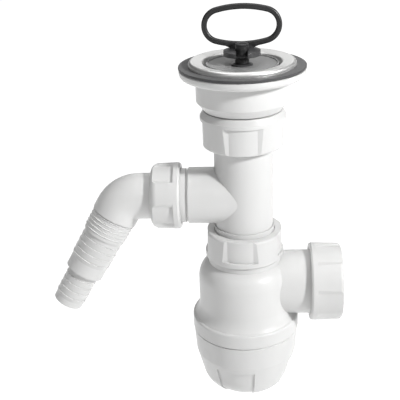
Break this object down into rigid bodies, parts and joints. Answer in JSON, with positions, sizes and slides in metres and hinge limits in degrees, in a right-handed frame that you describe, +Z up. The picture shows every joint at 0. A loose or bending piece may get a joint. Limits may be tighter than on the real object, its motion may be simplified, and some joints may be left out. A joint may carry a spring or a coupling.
{
  "type": "sink bottle trap",
  "caption": "Sink bottle trap with a strainer waste, a plug on a pull ring, an appliance branch with a stepped hose spigot, a side outlet and an unscrewing cup.",
  "frame": {"origin": "on the trap's axis, in the plane where the sink seats on the gasket's top face", "axes": "+Z up along the trap's axis, +X towards the outlet, -X towards the appliance branch"},
  "size_m": [0.2046, 0.0832, 0.2783],
  "materials": {
    "white_plastic": "gloss polypropylene",
    "dark_plastic": "satin dark grey plastic",
    "plug_rubber": "mid grey rubber",
    "seal_rubber": "dark grey rubber",
    "stainless": "polished stainless steel",
    "brass": "turned"
  },
  "bodies": {
    "waste": {"waste_body": "white_plastic", "flange_gasket": "seal_rubber", "strainer": "stainless", "screw_insert": "brass"},
    "plug": {"plug_post": "dark_plastic", "plug_seal": "plug_rubber"},
    "ring": {"pull_ring": "dark_plastic"},
    "clamp_screw": {"strainer_screw": "stainless"},
    "upper_union": {"top_nut": "white_plastic"},
    "tee": {"tee_pipe": "white_plastic", "top_washer": "seal_rubber"},
    "branch_union": {"branch_nut": "white_plastic"},
    "elbow": {"elbow_spigot": "white_plastic", "branch_washer": "seal_rubber"},
    "neck_seal": {"lower_slip_ring": "white_plastic", "lower_cone_seal": "seal_rubber"},
    "bottle": {"bottle_body": "white_plastic", "outlet_slip_ring": "white_plastic", "outlet_cone_seal": "seal_rubber"},
    "neck_union": {"lower_nut": "white_plastic"},
    "outlet_union": {"outlet_nut": "white_plastic"},
    "cup_seal": {"cup_gasket": "seal_rubber"},
    "catch_cup": {"cup": "white_plastic"}
  },
  "joints": [
    {"name": "plug_lift", "type": "slide", "parent": "waste", "child": "plug", "axis": [0, 0, 1], "range_m": [0, 0.06]},
    {"name": "ring_swivel", "type": "hinge", "parent": "plug", "child": "ring", "pos_m": [0, 0, 0.0078], "axis": [0, 0, 1], "continuous": true},
    {"name": "screw_turn", "type": "hinge", "parent": "waste", "child": "clamp_screw", "pos_m": [0, 0, -0.01], "axis": [0, 0, 1], "continuous": true},
    {"name": "top_nut_turn", "type": "hinge", "parent": "waste", "child": "upper_union", "pos_m": [0, 0, -0.0425], "axis": [0, 0, 1], "continuous": true},
    {"name": "tee_swivel", "type": "hinge", "parent": "waste", "child": "tee", "pos_m": [0, 0, -0.05], "axis": [0, 0, 1], "continuous": true},
    {"name": "branch_nut_turn", "type": "hinge", "parent": "tee", "child": "branch_union", "pos_m": [-0.0535, 0, -0.0912], "axis": [1, 0, 0], "continuous": true},
    {"name": "elbow_swivel", "type": "hinge", "parent": "tee", "child": "elbow", "pos_m": [-0.06, 0, -0.0912], "axis": [1, 0, 0], "continuous": true},
    {"name": "height_slide", "type": "slide", "parent": "tee", "child": "neck_seal", "axis": [0, 0, 1], "range_m": [-0.03, 0.001]},
    {"name": "bottle_swivel", "type": "hinge", "parent": "neck_seal", "child": "bottle", "pos_m": [0, 0, -0.125], "axis": [0, 0, 1], "continuous": true},
    {"name": "lower_nut_turn", "type": "hinge", "parent": "bottle", "child": "neck_union", "pos_m": [0, 0, -0.126], "axis": [0, 0, 1], "continuous": true},
    {"name": "outlet_nut_turn", "type": "hinge", "parent": "bottle", "child": "outlet_union", "pos_m": [0.057, 0, -0.1595], "axis": [1, 0, 0], "continuous": true},
    {"name": "cup_drop", "type": "slide", "parent": "bottle", "child": "cup_seal", "axis": [0, 0, 1], "range_m": [-0.0121, 0]},
    {"name": "cup_turn", "type": "hinge", "parent": "cup_seal", "child": "catch_cup", "pos_m": [0, 0, -0.2], "axis": [0, 0, 1], "range_deg": [-1080, 0]}
  ],
  "couplings": [
    {"joint": "cup_drop", "follows": "cup_turn", "m_per_rad": 0.00063662}
  ]
}
